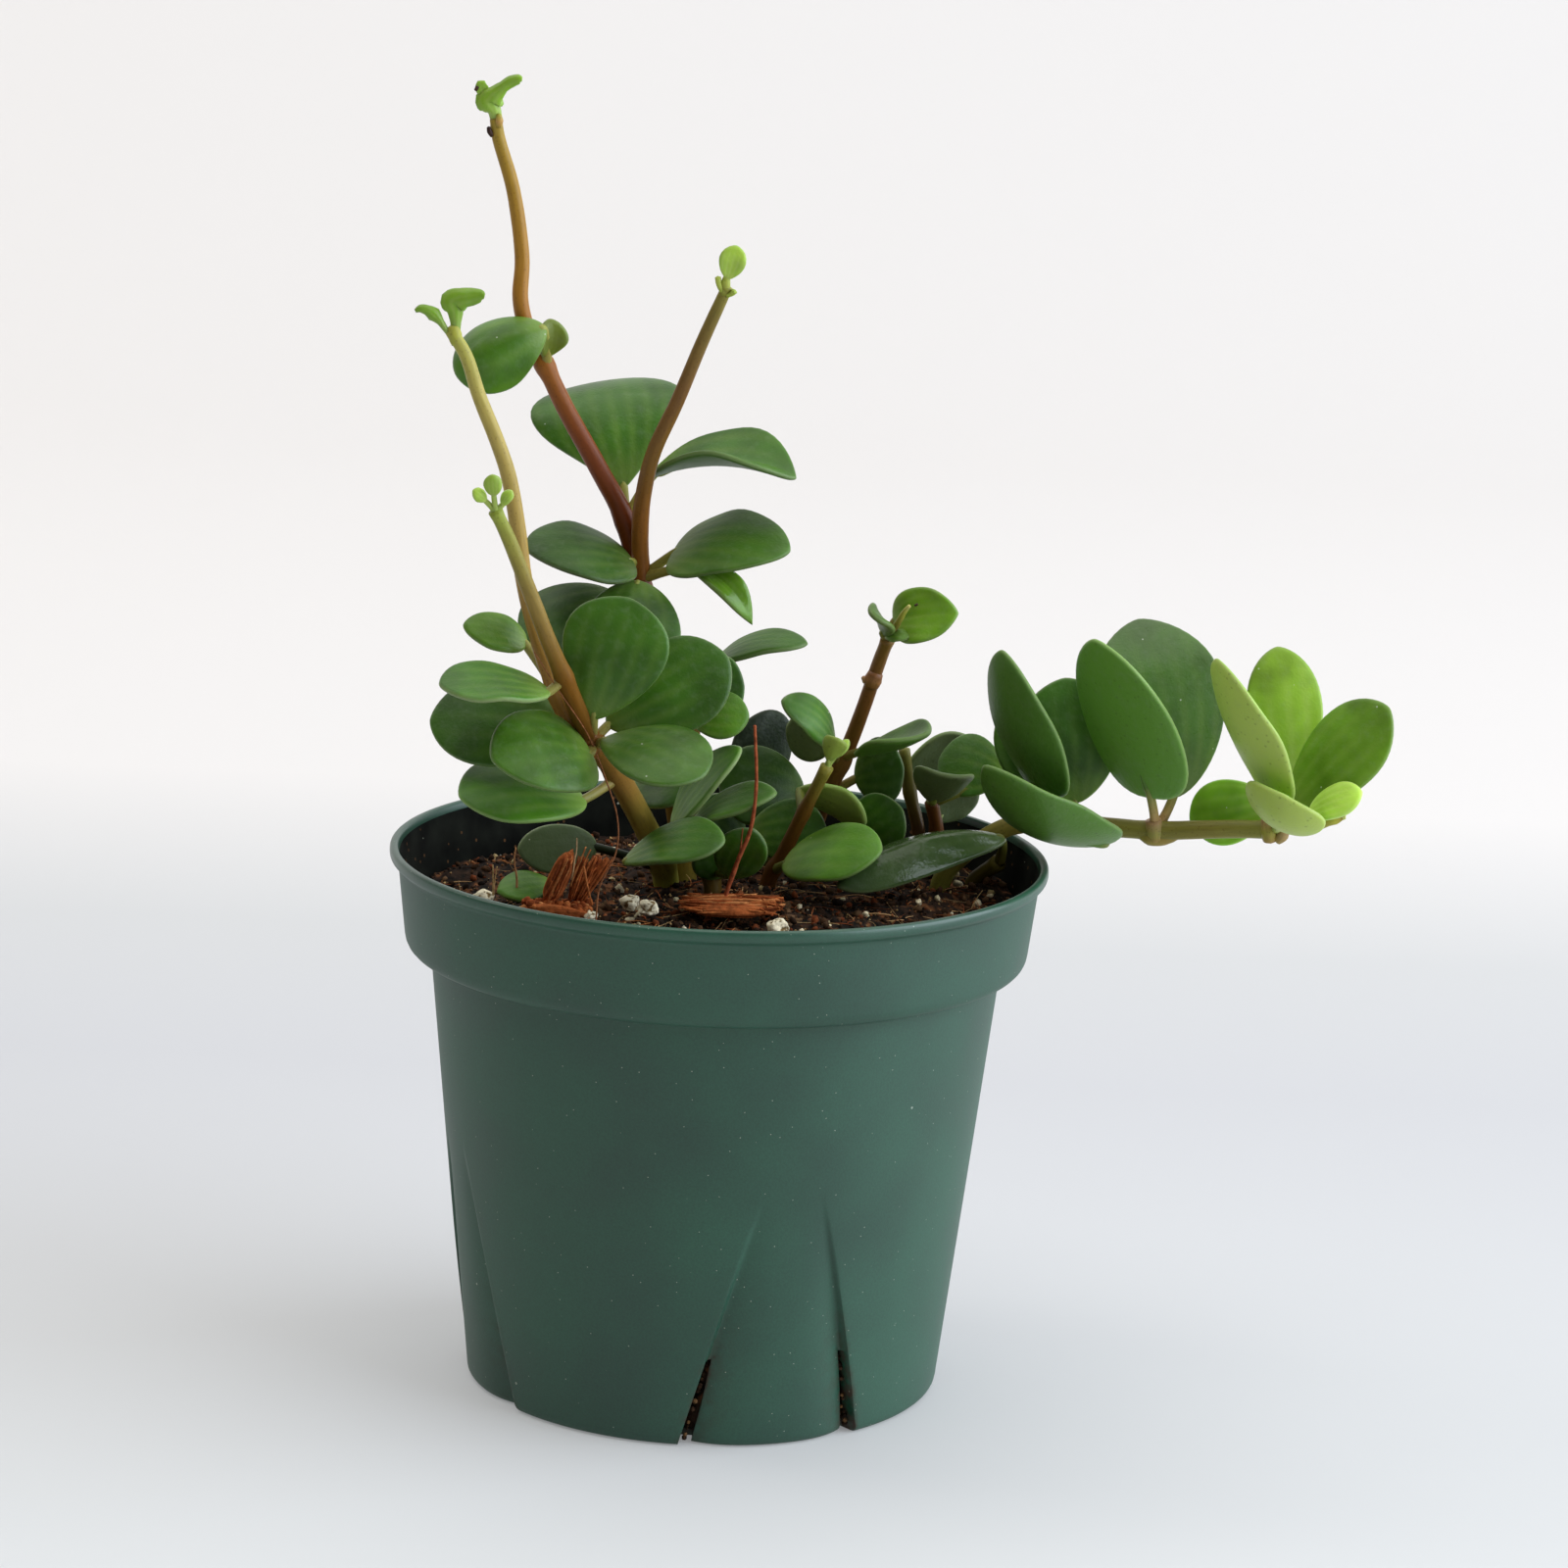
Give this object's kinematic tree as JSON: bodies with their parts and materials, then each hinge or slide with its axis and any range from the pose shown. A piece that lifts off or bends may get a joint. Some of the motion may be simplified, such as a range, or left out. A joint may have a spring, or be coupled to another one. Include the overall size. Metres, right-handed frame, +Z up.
{
  "type": "potted trailing jade peperomia",
  "caption": "Small trailing peperomia with thick oval leaves on upright and trailing stems, rooted in soil in a round green nursery pot with pressed-in panels and drain slits at its foot.",
  "frame": {"origin": "middle of the pot's flat base, on the surface that it stands on", "axes": "+Z up, +X to the right of the front view, where the trailing vine hangs over the rim, +Y away from the front"},
  "size_m": [0.1631, 0.1078, 0.2137],
  "materials": {
    "pot_plastic": "dark green moulded plastic with a fine satin grain",
    "soil": "dark, rough peat mix",
    "leaf": "satin, thick succulent leaf",
    "coir": "rough, fibrous",
    "perlite": "rough, pale"
  },
  "bodies": {
    "root": {"pot": "pot_plastic", "soil": "soil", "tall_vine": "leaf", "rosette_vine": "leaf", "low_shoot": "leaf", "back_shoot": "leaf", "front_shoot": "leaf", "upright_shoot": "leaf", "small_shoot": "leaf", "trailing_vine": "leaf", "leaning_leaf": "leaf", "fallen_leaf": "leaf", "flat_coir_chip": "coir", "split_coir_chip": "coir", "perlite_grain_1": "perlite", "perlite_grain_2": "perlite", "perlite_grain_3": "perlite", "perlite_grain_4": "perlite", "perlite_grain_5": "perlite"}
  },
  "joints": []
}
